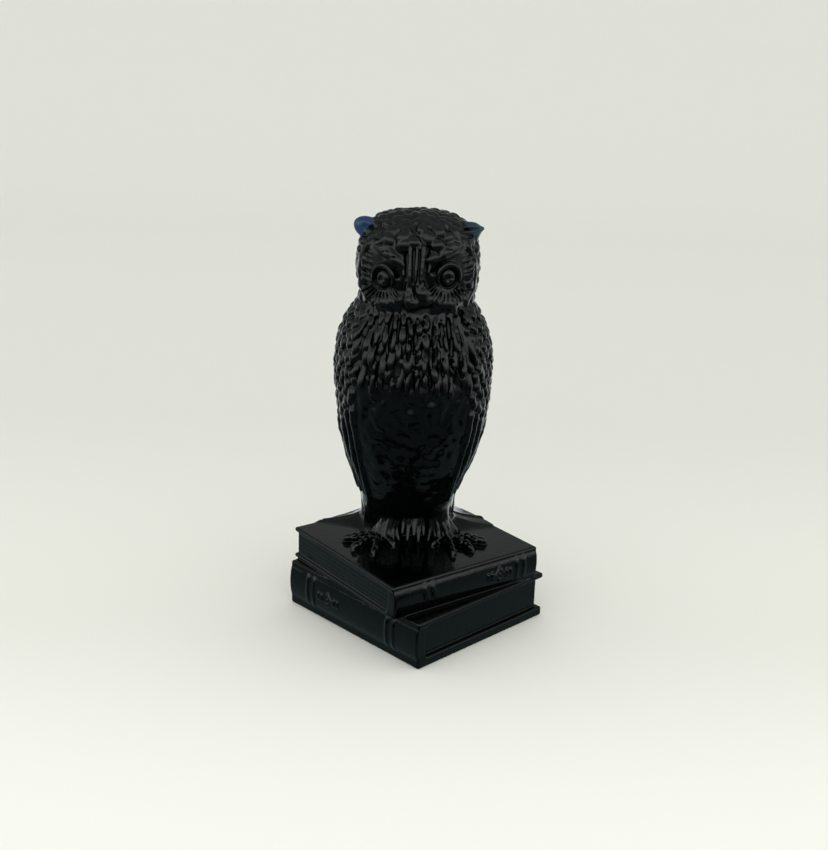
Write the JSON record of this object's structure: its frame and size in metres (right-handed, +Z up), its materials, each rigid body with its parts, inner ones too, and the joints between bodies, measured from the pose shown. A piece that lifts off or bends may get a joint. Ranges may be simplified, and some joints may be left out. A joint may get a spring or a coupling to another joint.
{
  "type": "owl figurine",
  "caption": "Dark pressed-glass owl standing on a stack of closed books, with folded wings, ear tufts, hooked beak and spread toes.",
  "frame": {"origin": "centre of the lower book's flat underside, which rests on the table", "axes": "+Z up through the owl, -Y the way the owl faces, +X towards the owl's own left"},
  "size_m": [0.0564, 0.0564, 0.0885],
  "materials": {
    "dark_glass": "glossy",
    "blue_glass": "glossy"
  },
  "bodies": {
    "root": {"lower_book_cover": "dark_glass", "lower_book_pages": "dark_glass", "upper_book_cover": "dark_glass", "upper_book_pages": "dark_glass", "owl_body": "dark_glass", "owl_head": "dark_glass", "owl_tail": "dark_glass", "left_wing": "dark_glass", "right_wing": "dark_glass", "left_leg": "dark_glass", "right_leg": "dark_glass", "left_foot": "dark_glass", "right_foot": "dark_glass", "left_ear_tuft": "blue_glass", "right_ear_tuft": "blue_glass", "left_eye": "dark_glass", "right_eye": "dark_glass", "beak": "dark_glass", "left_brow": "dark_glass", "right_brow": "dark_glass"}
  },
  "joints": []
}
